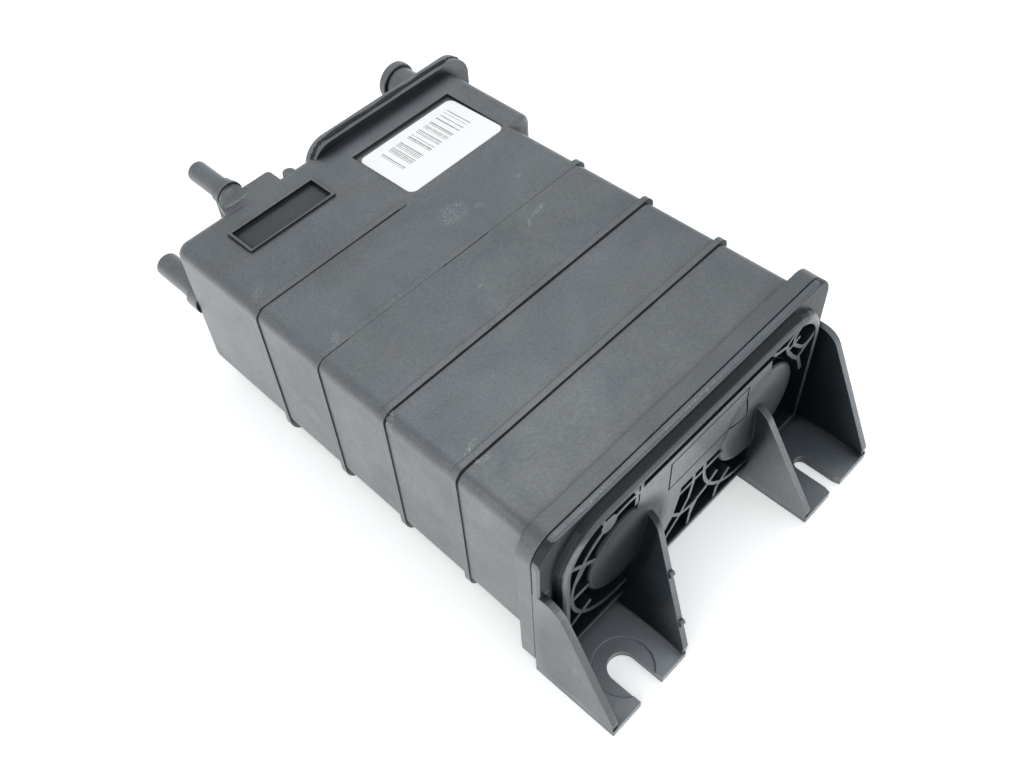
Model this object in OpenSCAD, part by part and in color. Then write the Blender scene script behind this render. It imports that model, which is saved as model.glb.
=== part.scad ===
// Fuel-vapour charcoal canister: a welded plastic box with two carbon chambers.
// X runs across the lid, the lid faces -Y, the ports leave towards +Y, and Z is up.
// The seam between the lid and the housing lies in the plane Y = 0, and the feet stand on Z = 0.

/* [Weld flange and lid rim] */
// Width of the lid and of the housing's flange
flange_w = 172; // [160:1:190]
// Height of the lid and of the housing's flange
flange_h = 94.5; // [88:0.5:106]
// Corner radius of the flange
flange_r = 11; // [9:0.5:13]
// Depth of the housing's flange behind the seam
flange_d = 7.4; // [7:0.1:9]
// How far the flange stands out past the housing's wall
flange_over = 7; // [6.2:0.1:8]
// Thickness of the lid's flat rim
rim_t = 3.6; // [3:0.1:4.5]
// Width of the flat rim, and wall of the flange step
rim_w = 3.8; // [3.2:0.1:4.2]
// Rounding of the rim's front edge
rim_round = 1; // [0.6:0.1:1.4]
// Half width of the open joint along the weld
seam_w = 0.35; // [0.2:0.05:0.5]
// Depth of that joint
seam_d = 0.6; // [0.3:0.1:1]

/* [Housing] */
// Length from the seam to the back face
body_len = 219; // [205:1:240]
// Wall of the housing
wall = 2.6; // [2.2:0.1:3]
// Radius of the housing's long edges
body_r = 5; // [4:0.5:7]
// Draft of the two sides, in millimetres for each millimetre of length
draft_x = 0.012; // [0.005:0.001:0.016]
// Draft of the top and the bottom, in millimetres for each millimetre of length
draft_z = 0.015; // [0.005:0.001:0.018]
// Thickness of the wall between the two chambers
partition_t = 2.4; // [2:0.1:3]
// Middle of that wall
partition_x = 6.8; // [0:0.1:10]
// Gap that this wall leaves before the seam, for the vapour to turn
partition_gap = 14; // [10:0.5:16]

/* [Ribs round the housing] */
// Distance of the first rib from the seam
rib_first = 44.6; // [38:0.1:50]
// Distance from rib to rib
rib_pitch = 39.1; // [36:0.1:41]
// Number of ribs
rib_n = 4; // [4:1:4]
// Width of a rib
rib_w = 3; // [2:0.1:4]
// Height of the two front ribs on the top
rib_front = 0.75; // [0.4:0.05:1]
// Height of the third rib on the top
rib_faint = 0.15; // [0.1:0.05:0.4]
// Height of the last rib on the top
rib_back = 0.4; // [0.2:0.05:0.8]
// Height of a rib on the left side
rib_low = 0.55; // [0.3:0.05:1]
// Height of a rib on the right side
rib_side = 2.3; // [1.5:0.1:3]
// Radius of a rib's lower corners
rib_r = 10; // [8:0.5:14]

/* [Neck and air cover] */
// Distance of the neck's right side from the middle
neck_x = 87.8; // [84:0.1:92]
// Rounding of the neck's front edge
neck_round = 3; // [2:0.1:4]
// Thickness of each of the two welded layers behind the neck
layer_t = 3.2; // [2.8:0.1:4]
// Distance of the neck's flange in front of the back face
neck_back = 5; // [4:0.5:8]
// How far the neck's flange stands out at its two ends
cover_side = 10; // [8:0.1:11]
// How far the neck's flange stands out at the top and the bottom
cover_over = 5; // [4:0.1:6]
// Corner radius of the neck's flange
cover_r = 12; // [10:0.5:16]
// Distance of the air stub from the middle
air_x = 75.6; // [68:0.1:78]
// Height of the air stub
air_z = 70; // [60:0.5:72]
// Outer radius of the air stub
air_r = 8.5; // [8:0.1:9]
// Bore of the air stub
air_bore = 13; // [11:0.1:14]
// Length of the air stub behind the cover
air_len = 26; // [23:0.5:30]
// Radius of the bead at its end
bead_r = 10; // [9.5:0.1:10.5]
// Width of that bead
bead_w = 5; // [4:0.1:6]
// Rounding of the bead's edges
bead_round = 1.3; // [1:0.1:1.5]
// Radius of the flare at its foot
flare_r = 15; // [13:0.5:16]
// Length of that flare
flare_len = 11; // [9:0.5:13]

/* [Tank and purge nipples] */
// Radius of the tank nipple
tank_r = 4.945; // [4.5:0.005:5.5]
// Bore of the tank nipple
tank_bore = 6; // [5:0.1:6.5]
// Distance of the tank nipple from the middle
tank_x = -40.5; // [-46:0.5:-38]
// Height of the tank nipple's axis over the back edge of the top
tank_rise = 0.2; // [0.1:0.1:2]
// Length of the tank nipple behind its boss
tank_len = 24; // [20:0.5:28]
// Radius of the saddle boss
saddle_r = 6.7; // [6.4:0.1:7.2]
// Length of the saddle boss behind the back face
saddle_len = 7.5; // [7:0.1:9]
// Length of the round boss at the end of the shelf
boss_len = 1.6; // [1.2:0.1:3]
// Length of the hump in front of the boss
hump_len = 9; // [6:0.5:14]
// How much wider the hump is at its front end
hump_flare = 2; // [0:0.1:4]
// How much wider the shelf is at the housing
shelf_flare = 3; // [1:0.1:5]
// Radius of the collar at the tank nipple's foot
tank_collar_r = 5.9; // [5.6:0.1:6.2]
// Length of that collar
tank_collar = 4; // [3:0.1:6]
// Right end of the flat shelf beside the saddle boss
shelf_x = -18.7; // [-24:0.1:-16]
// Height of the passage inside the saddle boss
saddle_drop = 17; // [14:0.5:20]
// Radius of the purge nipple
purge_r = 5.895; // [5.4:0.005:6.2]
// Bore of the purge nipple
purge_bore = 7.4; // [6:0.1:7.6]
// Distance of the purge nipple from the middle
purge_x = -69.8; // [-70:0.1:-60]
// Height of the purge nipple
purge_z = 46.4; // [38:0.1:56]
// Length of the purge nipple behind the back face
purge_len = 32; // [26:0.5:36]
// Radius of the collar at its foot
collar_r = 7.8; // [7:0.1:8.4]
// Length of that collar
collar_len = 5; // [4:0.1:7]

/* [Marks on the top] */
// Length of the bare frame
frame_w = 47.3; // [40:0.1:52]
// Width of the bare frame
frame_d = 16.4; // [14:0.1:20]
// Wall of the bare frame
frame_t = 1.3; // [1:0.1:2]
// Height of the bare frame
frame_h = 1; // [0.6:0.1:1.6]
// Middle of the bare frame across the housing
frame_x = -33; // [-38:0.5:-30]
// Distance of its middle in front of the back face
frame_back = 21.8; // [18:0.1:30]
// Depth of the bare field inside the frame
frame_deep = 0.7; // [0.3:0.1:1]
// Length of the label
label_w = 58.6; // [50:0.1:60]
// Width of the label
label_d = 36; // [30:0.1:38]
// Corner radius of the label
label_r = 3.5; // [2:0.1:5]
// Thickness of the label
label_t = 0.25; // [0.2:0.05:0.5]
// Middle of the label across the housing
label_x = 42.5; // [41:0.1:46]
// Distance of its middle in front of the back face
label_back = 37.4; // [35:0.1:42]
// Depth of the label's recess at its back edge
recess_h = 1.4; // [0.8:0.1:1.5]
// Free strip of the recess round the label
recess_edge = 3; // [1:0.1:4]

/* [Lid face, ribs and domes] */
// Level border beside the raised face
border_x = 6.5; // [6:0.1:7.5]
// Level border over the raised face
border_z = 2.4; // [2.2:0.1:3.4]
// Corner radius of the raised face
table_r = 21.5; // [20:0.5:23]
// Height of the wall round the raised face, from the seam
table_h = 7.8; // [7.2:0.1:8.6]
// How far that wall draws in towards its edge
wall_in = 3; // [2:0.1:3.6]
// Lower edge of the raised face
face_low = 12; // [11:0.5:14]
// Depth of the lid's plug behind the seam
plug_d = 4.4; // [4.2:0.1:4.6]
// Thickness of the lid's floor under the cells
lid_t = 2.2; // [2:0.1:2.4]
// Depth of the cells behind the seam
cell_d = 0.8; // [0.4:0.1:1]
// Wall of the plug
plug_wall = 2.6; // [2.2:0.1:3]
// Width of the wall round the raised face
ridge_w = 2; // [1.6:0.1:2.6]
// Height of that wall over the ribs inside it
ridge_h = 0.5; // [0.3:0.1:0.8]
// Thickness of the ribs
lattice_t = 1.8; // [1.4:0.1:2.2]
// Left end of the centre plate
plate_x0 = -35.3; // [-37:0.1:-34]
// Right end of the centre plate
plate_x1 = 42.7; // [41:0.1:44]
// Channel between the wall and the centre plate
channel_w = 5; // [4:0.1:5.6]
// Lower edge of the centre plate
plate_z0 = 52.5; // [52:0.1:53.5]
// Middle of the left spring dome
dome_l_x = -42.4; // [-43.5:0.1:-41]
// Middle of the right spring dome
dome_r_x = 39.4; // [38.5:0.1:40.5]
// Height of the domes' middles
dome_z = 51; // [50:0.5:52]
// Radius of the left dome
dome_l_r = 21.5; // [21:0.5:22.5]
// Radius of the right dome
dome_r_r = 24; // [23:0.5:25]
// Height of the domes over the wall
dome_h = 0.8; // [0.5:0.1:1.4]
// Width of the domes' soft edge
dome_soft = 12; // [10:0.5:13]
// Height of the domes' upright sides
dome_side = 2.8; // [2.2:0.1:3.4]
// Wall of the domes
dome_wall = 2.8; // [2.4:0.1:3.2]
// Radius of the rib ring round the left dome
arc_l_r = 30.7; // [30:0.1:32]
// Radius of the rib ring round the right dome
arc_r_r = 34.2; // [33.4:0.1:35]
// Radius of the small boss in the left rib ring
boss_r = 4.2; // [3.6:0.1:4.6]
// Length of the bare field engraved on the centre plate
field_w = 48; // [40:0.5:52]
// Height of that field
field_h = 18; // [14:0.5:20]
// Width of its engraved line
field_t = 0.8; // [0.6:0.1:1.2]

/* [Bracket feet] */
// Reach of the feet in front of the seam
foot_len = 40; // [37:0.5:44]
// Thickness of the feet
foot_t = 4; // [3.5:0.1:5]
// Inner side of the left foot
foot_l_x = -42; // [-44:0.5:-40]
// Inner side of the right foot
foot_r_x = 40.5; // [39:0.5:43]
// Thickness of the gussets
gusset_t = 3; // [2.6:0.1:3.6]
// Height of the outer gussets
outer_h = 65; // [58:0.5:70]
// Height of the inner gussets
inner_h = 60; // [56:0.5:62]
// Level part at the top of the gussets, from the seam
gusset_top = 12; // [10:0.5:15]
// Height of the gussets at the tip of the feet
tip_h = 8; // [6:0.5:10]
// How far the gussets end behind the front of the feet
gusset_back = 0.6; // [0.4:0.1:1.5]
// Radius of the two nubs on the left inner gusset's edge
nub_r = 1.5; // [1.2:0.1:2]
// Lean of the left inner gusset, in degrees
lean = 12; // [0:0.5:14]
// Lean of the right inner gusset, in degrees
lean_r = 4.5; // [0:0.5:6]
// Width of the left slot
slot_l_w = 13; // [11:0.1:14]
// Middle of the left slot
slot_l_x = -63.3; // [-66:0.1:-61]
// Width of the right slot
slot_r_w = 7; // [6.5:0.1:9]
// Middle of the right slot
slot_r_x = 62.3; // [60:0.1:66]
// Distance of the slots' closed ends from the seam
slot_y = 19.2; // [18:0.1:22]
// Radius of the washer seat round the left slot
seat_r = 12.6; // [11:0.1:13]
// Depth of that seat
seat_d = 0.8; // [0.4:0.1:1]

/* [Inside] */
// Distance of the pressure plates behind the lid
spring_len = 15; // [13:0.5:18]
// Outer radius of the springs
spring_r = 16; // [14:0.5:17]
// Wire of the springs
spring_wire = 1.8; // [1.4:0.1:2.2]
// Number of turns
spring_n = 5; // [4:1:6]
// Thickness of the pressure plates and of the air grid
plate_t = 3; // [2.5:0.1:4]
// Side of the holes in these plates
hole = 6; // [5:0.1:7]
// Distance from hole to hole
hole_pitch = 9; // [8.5:0.1:12]
// Thickness of the fleeces
fleece_t = 2.5; // [1.5:0.1:4]
// Height of the standing ribs behind the main bed
stand_h = 8; // [6:0.5:10]
// Thickness of the dust foam
foam_t = 12; // [8:0.5:14]
// Play between the inner pieces and the walls
play = 0.3; // [0.2:0.05:0.5]

/* [Hidden] */
$fn = 48;
e = 0.01;
big = 400;
// Step that keeps two coplanar walls apart
skin = 0.02;
mid_z = flange_h / 2;
half_flange = flange_w / 2;
// Half width and half height of the drafted box at a distance y from the seam
function half_w(y) = half_flange - flange_over - draft_x * (y - flange_d);
function half_h(y) = mid_z - flange_over - draft_z * (y - flange_d);
function top_z(y) = mid_z + half_h(y);
back_in = body_len - wall;
mouth_d = flange_d - wall + 0.2;
main_x1 = partition_x - partition_t / 2;
second_x0 = partition_x + partition_t / 2;
neck_y = rib_first + rib_pitch * (rib_n - 1);
neck_end = body_len - neck_back;
weld_y = neck_end + layer_t;
cover_y = weld_y + layer_t;
cover_x0 = second_x0 - cover_side;
cover_x1 = neck_x + cover_side;
cover_hh = half_h(neck_end) + cover_over;
frame_y = body_len - frame_back;
label_y = body_len - label_back;
tank_z = top_z(body_len) + tank_rise;
saddle_y = body_len + saddle_len;
saddle_slant = 12;
// Stack inside the chambers, from the lid backwards
plate_y = plug_d + spring_len;
fleece_y = plate_y + plate_t;
bed_y = fleece_y + fleece_t;
main_end = back_in - stand_h - fleece_t;
foam_y = weld_y - foam_t;
grid_y = foam_y - plate_t;
second_end = grid_y - fleece_t;
// Raised face of the lid
table_x = half_flange - border_x - wall_in;
table_z = flange_h - border_z - wall_in;
plate_z1 = table_z - ridge_w - channel_w;
dome_y = table_h + dome_h;
// Level in the lid's floor at which the raised shapes begin
cell_y = cell_d + 0.5;
rib_y = -table_h + ridge_h;
dome_low = cell_y + rim_t + dome_side - 0.6;
charcoal = [0.16, 0.165, 0.17];

// General shapes

module rrect(w, h, r) {
    square([w, h - 2 * r], center = true);
    square([w - 2 * r, h], center = true);
    for (sx = [-1, 1], sy = [-1, 1]) translate([sx * (w / 2 - r), sy * (h / 2 - r)]) circle(r);
}
// Outline in X and Z, drawn out from y0 to y1
module along_y(y0, y1) translate([0, y1, 0]) rotate([90, 0, 0]) linear_extrude(y1 - y0) children();
// Outline in Y and Z, drawn out from x0 to x1
module along_x(x0, x1) translate([x0, 0, 0]) rotate([90, 0, 90]) linear_extrude(x1 - x0) children();
module rod_y(x, z, y0, y1, r0, r1) translate([x, y0, z]) rotate([-90, 0, 0]) cylinder(h = y1 - y0, r1 = r0, r2 = r1);
module box(x0, x1, y0, y1, z0, z1) translate([x0, y0, z0]) cube([x1 - x0, y1 - y0, z1 - z0]);

// Loft through rounded sections, each [y, x0, x1, z0, z1, corner radius], with n steps in a corner
function ring(s, n) = [for (k = [0:3]) for (j = [0:n]) let (a = 90 * k + (n > 0 ? 90 * j / n : 45), r = s[5],
    cx = (k == 0 || k == 3) ? s[2] - r : s[1] + r, cz = k < 2 ? s[4] - r : s[3] + r)
    [cx + r * cos(a), s[0], cz + r * sin(a)]];
module loft(sections, n) {
    c = 4 * (n + 1);
    m = len(sections);
    pts = [for (s = sections) each ring(s, n)];
    sides = [for (i = [0:m - 2]) for (j = [0:c - 1]) let (a = i * c + j, b = i * c + (j + 1) % c)
        each [[a, b, b + c], [a, b + c, a + c]]];
    polyhedron(pts, concat([[for (j = [c - 1:-1:0]) j], [for (j = [0:c - 1]) (m - 1) * c + j]], sides));
}
// Section of the drafted box at y, drawn in by inset on all sides
function box_section(y, inset, r) = [y, -half_w(y) + inset, half_w(y) - inset,
    mid_z - half_h(y) + inset, mid_z + half_h(y) - inset, r];

// Housing

module outer_box() {
    steps = 4;
    round = body_r - 0.6;
    loft(concat([box_section(flange_d - 1, 0, body_r)], [for (i = [0:steps])
        box_section(body_len - round + round * sin(90 * i / steps), round * (1 - cos(90 * i / steps)), body_r)]), 6);
}
module rib_outline(y, h) {
    x0 = -half_w(y) - rib_low;
    x1 = half_w(y) + rib_side;
    z1 = top_z(y) + h;
    translate([(x0 + x1) / 2, z1 / 2]) {
        intersection() {
            rrect(x1 - x0, z1, body_r);
            translate([-big, 0]) square([2 * big, big]);
        }
        intersection() {
            rrect(x1 - x0, z1, rib_r);
            translate([-big, -big]) square([2 * big, big]);
        }
    }
}
module ribs() for (i = [0:rib_n - 1]) let (y = rib_first + i * rib_pitch) {
    if (i < rib_n - 1) along_y(y - rib_w / 2, y + rib_w / 2) rib_outline(y, i < rib_n - 2 ? rib_front : rib_faint);
    else along_y(y - rib_w / 2, y + rib_w / 2) intersection() {
        rib_outline(y, rib_back);
        translate([partition_x - big, -big / 2]) square(big);
    }
}
module flange_outline(inset) translate([0, mid_z]) rrect(flange_w - 2 * inset, flange_h - 2 * inset, flange_r - inset);
// The joint runs over the two sides and the top, and the base stays level
module seam_outline() difference() {
    flange_outline(0);
    difference() {
        translate([-big, flange_r + 1]) square([2 * big, big]);
        flange_outline(seam_d);
    }
}
module flange_step() {
    along_y(0, flange_d) seam_outline();
    along_y(seam_w, flange_d) flange_outline(0);
}
// Neck: the second chamber widens to the right behind the last rib
function neck_section(y, inset, r) = [y, second_x0 + 2 + inset, neck_x - inset,
    mid_z - half_h(y) + inset, mid_z + half_h(y) - inset, r];
module neck_block() loft(concat([for (i = [0:4]) let (a = 90 * i / 4)
    neck_section(neck_y + neck_round * (1 - cos(a)), skin + neck_round * (1 - sin(a)), body_r)],
    [neck_section(neck_end + 0.5, skin, body_r)]), 6);
module cover_outline() translate([(cover_x0 + cover_x1) / 2, mid_z])
    rrect(cover_x1 - cover_x0, 2 * cover_hh, cover_r);
// Short hump in front of the boss, as rows of points from the back forwards
module hump() {
    rows = 8;
    n = 14;
    y0 = saddle_y - boss_len / 2;
    pts = [for (i = [0:rows]) let (t = i / rows, y = y0 - t * hump_len, w = saddle_r - 0.15 + hump_flare * t,
        z = top_z(y0) - 0.5, h = (tank_z + saddle_r - 0.15 - z) * pow(1 - t, 2.2))
        each concat([for (j = [0:n]) let (a = 180 * j / n) [tank_x + w * cos(a), y, z + h * sin(a)]],
            [[tank_x - w, y, z - 0.6], [tank_x + w, y, z - 0.6]])];
    c = n + 3;
    polyhedron(pts, concat([[for (j = [0:c - 1]) j], [for (j = [c - 1:-1:0]) rows * c + j]],
        [for (i = [0:rows - 1]) for (j = [0:c - 1]) let (a = i * c + j, b = i * c + (j + 1) % c)
            each [[a, a + c, b + c], [a, b + c, b]]]));
}
module saddle() {
    shelf_z = top_z(body_len) - 0.1;
    y1 = saddle_y - boss_len;
    // Block with the passage, and the round boss at its end
    along_y(back_in, saddle_y) translate([tank_x - saddle_r, tank_z - saddle_drop - saddle_r])
        square([2 * saddle_r, shelf_z - 0.2 - tank_z + saddle_drop + saddle_r]);
    rod_y(tank_x, tank_z, y1, saddle_y, saddle_r, saddle_r);
    rod_y(tank_x, tank_z, saddle_y - 1, saddle_y + tank_collar, tank_collar_r, tank_collar_r);
    hump();
    // Flat shelf that carries the top on to the boss
    translate([0, 0, shelf_z - wall]) linear_extrude(wall) {
        polygon([[tank_x - saddle_r - shelf_flare, back_in - wall], [tank_x - saddle_r + 0.1, y1 + 0.3], [shelf_x - 2, y1 + 0.3],
            [shelf_x - 2, y1 - 1.7], [shelf_x, y1 - 1.7], [shelf_x, back_in - wall]]);
        translate([shelf_x - 2, y1 - 1.7]) circle(2);
    }
    // Small tab at the back edge
    translate([shelf_x + 5.7, body_len - 1.5, top_z(body_len) - wall - 0.4]) cylinder(h = wall, r = 3);
}
module saddle_passage() {
    r = tank_bore / 2;
    y = (back_in + saddle_y) / 2 + 0.4;
    low = tank_z - saddle_drop;
    rod_y(tank_x, tank_z, saddle_y + 1, saddle_y + tank_len + 1, r, r);
    // Slanting run under the hump
    translate([tank_x, saddle_y + 2.6, tank_z + 0.3]) rotate([135, 0, 0]) translate([0, 0, -0.6]) cylinder(h = saddle_slant, r = r - 0.1);
    translate([tank_x, y, low - r - 0.7]) cylinder(h = tank_z - low - wall - 1, r = r + 0.4);
    rod_y(tank_x, low, back_in - 1, y, r, r);
}
// Tube with a rounded end
module nipple(x, z, y0, len, r) {
    tip = 1.6;
    rod_y(x, z, y0 - 2, y0 + len - tip, r, r);
    translate([x, y0 + len - tip, z]) rotate([-90, 0, 0]) rotate_extrude() {
        square([r - tip, tip]);
        intersection() {
            translate([r - tip, 0]) circle(tip);
            square([r, tip]);
        }
    }
}
module bare_frame() {
    z = top_z(frame_y - frame_d / 2);
    translate([frame_x, frame_y, z - 1]) linear_extrude(1 + frame_h) difference() {
        square([frame_w, frame_d], center = true);
        square([frame_w - 2 * frame_t, frame_d - 2 * frame_t], center = true);
    }
}
module frame_field() translate([frame_x, frame_y, top_z(frame_y) - frame_deep]) linear_extrude(frame_deep + frame_h + 2)
    square([frame_w - 2 * frame_t, frame_d - 2 * frame_t], center = true);
// Label recess: a plane that dips from the top's level at its front edge to recess_h at its back edge
recess_y0 = label_y - label_d / 2 - recess_edge;
recess_len = label_d + 2 * recess_edge;
recess_tilt = atan((recess_h + draft_z * recess_len) / recess_len);
module on_recess() translate([label_x, recess_y0, top_z(recess_y0)]) rotate([-recess_tilt, 0, 0])
    translate([0, recess_len / 2, 0]) children();
module label_recess() on_recess() translate([-label_w / 2 - 1, -recess_len / 2, 0])
    cube([label_w + 2, recess_len, 6]);
// Spaces for the two beds, with the play taken off on every side
function inner_section(y, gap, x0, x1) = [y, x0, x1, mid_z - half_h(y) + wall + gap, mid_z + half_h(y) - wall - gap, 0];
module main_space(gap, y0, y1) loft([for (y = [y0, y1])
    inner_section(y, gap, -half_w(y) + wall + gap, main_x1 - gap)], 0);
module second_space(gap, y0, y1) {
    loft([for (y = [y0, y1]) inner_section(y, gap, second_x0 + gap, half_w(y) - wall - gap)], 0);
    if (y1 > neck_y + wall + gap) loft([for (y = [max(y0, neck_y + wall + gap), y1])
        inner_section(y, gap + skin * 10, second_x0 + wall + gap + 2, neck_x - wall - gap)], 0);
}
// Standing ribs on the back wall, which hold the fleece off the ports
module stands() for (i = [1:3]) {
    x = -half_w(back_in) + wall + i * (half_w(back_in) - wall + main_x1) / 4;
    box(x - 1, x + 1, back_in - stand_h, back_in + 0.5, mid_z - half_h(back_in) + wall + 9,
        mid_z + half_h(back_in) - wall - 9);
}
module housing() color(charcoal) {
    difference() {
        union() {
            outer_box();
            flange_step();
            ribs();
            neck_block();
            along_y(neck_end, weld_y) cover_outline();
            saddle();
            nipple(tank_x, tank_z, saddle_y, tank_len, tank_r);
            rod_y(purge_x, purge_z, back_in, body_len + collar_len, collar_r, collar_r);
            nipple(purge_x, purge_z, body_len, purge_len, purge_r);
            bare_frame();
        }
        along_y(-1, mouth_d) translate([0, mid_z])
            rrect(flange_w - 2 * rim_w, flange_h - 2 * rim_w, flange_r - rim_w);
        main_space(0, mouth_d - 1, back_in);
        second_space(0, mouth_d - 1, weld_y + 1);
        box(main_x1 - 1, second_x0 + 1, mouth_d - 1, partition_gap, mid_z - half_h(partition_gap) + wall,
            mid_z + half_h(partition_gap) - wall);
        saddle_passage();
        rod_y(purge_x, purge_z, back_in - 1, body_len + purge_len + 1, purge_bore / 2, purge_bore / 2);
        label_recess();
        frame_field();
        // Room for the cover beside the main chamber's back wall
        box(cover_x0 - play, big, weld_y, big, -big, big);
    }
    stands();
}

// Lid with its bracket feet

// Outline of the raised face: level sides, two round corners at the top, open at the bottom
module table_outline(inset, low) intersection() {
    rrect(2 * (table_x - inset), 2 * (table_z - inset), table_r - inset);
    translate([-big, low]) square([2 * big, big]);
}
// Rib between two points of the lid's face
module bar(x0, z0, x1, z1) let (l = sqrt((x1 - x0) * (x1 - x0) + (z1 - z0) * (z1 - z0))) translate([x0, z0])
    rotate(atan2(z1 - z0, x1 - x0)) translate([-lattice_t / 2, -lattice_t / 2]) square([l + lattice_t, lattice_t]);
module rib_ring(x, r) translate([x, dome_z]) difference() {
    circle(r + lattice_t / 2);
    circle(r - lattice_t / 2);
}
// Half of a rib ring, on the side of the other dome
module half_ring(x, r, s) intersection() {
    rib_ring(x, r);
    translate([s > 0 ? x : -big, dome_z - big]) square([big + (s > 0 ? 0 : x), big + 4]);
}
// Loop of a rib round the pocket in the right corner
module corner_loop() translate([66.4, 77.2]) rotate(-47) difference() {
    translate([-4, 0]) loop_end(6.6, 8);
    translate([-4, 0]) loop_end(5, 8);
}
module loop_end(r, l) {
    circle(r);
    translate([l, 0]) circle(r);
    translate([0, -r]) square([l, 2 * r]);
}
// Ribs round the left dome
left_bars = [[-35.7, 74.8, -35.7, 88.4], [-38.3, 75.7, -38.3, 84.5], [-41.3, 88.4, -38.4, 83], [-54, 78.7, -57.7, 87.4], [-73.5, 73.3, -60.8, 64],
    [-71.1, 60.1, -65.7, 67.4], [-76.4, 49.4, -63.7, 49.4], [-73.5, 29.9, -62.8, 34.8]];
// Ribs round the right dome
right_bars = [[39.6, 88.4, 45.5, 83], [45.5, 83, 52.7, 81], [52.7, 81, 58.7, 86.5], [52.7, 81, 55.2, 75.3], [55.2, 75.3, 60.1, 68.3],
    [60.1, 68.3, 65.5, 62.1], [65.5, 62.1, 68.9, 53.3], [55.2, 77.3, 61.1, 79.1], [74.7, 70.4, 64, 64], [18.2, 21.1, 25, 26.5],
    [17.8, 20.7, 16.6, 13.3]];
// Ribs between the two domes, below the centre plate
middle_bars = [[-10.1, 48.1, 16.2, 48.1], [-1.5, 47.5, -1.5, 53.3], [5.5, 47.5, 5.5, 53.3], [-1.2, 47.5, -3.3, 37.7], [-3.3, 37.7, -8.2, 29.9],
    [-8.2, 29.9, -16.9, 21.6], [-13, 35.8, -7.7, 30.2], [-7.7, 30.2, 0.6, 28], [0.6, 28, 8.4, 30.9], [8.4, 30.9, 15.2, 35.6],
    [0.2, 28.4, -1.2, 13.3], [3.1, 28.9, 0, 22.1]];
module lattice() {
    rib_ring(dome_l_x, arc_l_r);
    half_ring(dome_r_x, arc_r_r, -1);
    for (b = concat(left_bars, right_bars, middle_bars)) bar(b[0], b[1], b[2], b[3]);
    translate([-53.4, 80]) circle(boss_r);
    corner_loop();
}
module centre_plate() polygon([[plate_x0, plate_z1], [plate_x1, plate_z1], [plate_x1 + 1.5, 72], [16.7, 56], [14.7, plate_z0],
    [-9.8, plate_z0], [-10.3, 46], [-13.3, 35], [-17.8, 29], [-29.3, 29], [dome_l_x, dome_z]]);
// Soft outer side of the wall round the face
function wall_section(a) = let (i = wall_in * cos(a)) [-rim_t - (table_h - rim_t) * sin(a), -table_x - i, table_x + i, -60, table_z + i, table_r + i];
module face_wall() loft(concat([for (k = [3:-1:0]) wall_section(30 * k)],
    [[cell_y, -table_x - wall_in, table_x + wall_in, -60, table_z + wall_in, table_r + wall_in]]), 6);
// The wall, and the ribs and the plate inside it
module raised_face() {
    difference() {
        intersection() {
            face_wall();
            box(-big, big, -big, big, face_low, big);
        }
        along_y(-table_h - 1, cell_y + 1) table_outline(ridge_w, face_low + ridge_w);
    }
    along_y(rib_y, cell_y) intersection() {
        table_outline(ridge_w / 2, face_low + ridge_w / 2);
        union() {
            lattice();
            centre_plate();
        }
    }
}
// Cells between the ribs
module lattice_cells() difference() {
    table_outline(ridge_w, face_low + ridge_w);
    lattice();
    centre_plate();
    translate([dome_l_x, dome_z]) circle(dome_l_r + 0.4);
    translate([dome_r_x, dome_z]) circle(dome_r_r + 0.4);
}
module bare_field() translate([(plate_x0 + plate_x1) / 2 + 1.5, (plate_z0 + plate_z1) / 2 + 2.5]) difference() {
    square([field_w, field_h], center = true);
    square([field_w - 2 * field_t, field_h - 2 * field_t], center = true);
}
// Low round dome with a soft edge, which holds a spring
module dome(x, r) translate([x, cell_y, dome_z]) rotate([90, 0, 0]) rotate_extrude() polygon(concat([[0, 0], [r, 0]],
    [for (i = [0:8]) let (a = 90 * i / 8) [r - dome_soft * (1 - cos(a)), dome_low + (dome_y + cell_y - dome_low) * sin(a)]],
    [[0, dome_y + cell_y]]));
module dome_hollow(x, r) let (a = r - dome_wall - 2) rod_y(x, dome_z, -dome_y + dome_wall, plug_d + 1, a, a);
// Side view of a gusset: level at the top, then slanting to the tip of the foot
module gusset_outline(h, top, y0) {
    r = 10;
    a = atan2(h - tip_h, foot_len - gusset_back - top);
    tip = -foot_len + gusset_back;
    polygon(concat([[y0, foot_t / 2], [tip, foot_t / 2], [tip, tip_h]],
        [for (i = [0:6]) let (b = 180 - (90 - a) - 0 - i * a / 6)
            [-top + r * tan(a / 2) + r * cos(b), h - r + r * sin(b)]],
        [[y0, h]]));
}
module slot(x, w, flare) {
    translate([x, -slot_y - w / 2, -1]) cylinder(h = foot_t + 2, r = w / 2);
    box(x - w / 2, x + w / 2, -foot_len - 1, -slot_y - w / 2, -1, foot_t + 1);
    if (flare > 0) translate([0, 0, -1]) linear_extrude(foot_t + 2) polygon([[x - w / 2 - flare, -foot_len - 1],
        [x + w / 2 + flare, -foot_len - 1], [x + w / 2, -foot_len + 3], [x - w / 2, -foot_len + 3]]);
}
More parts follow.
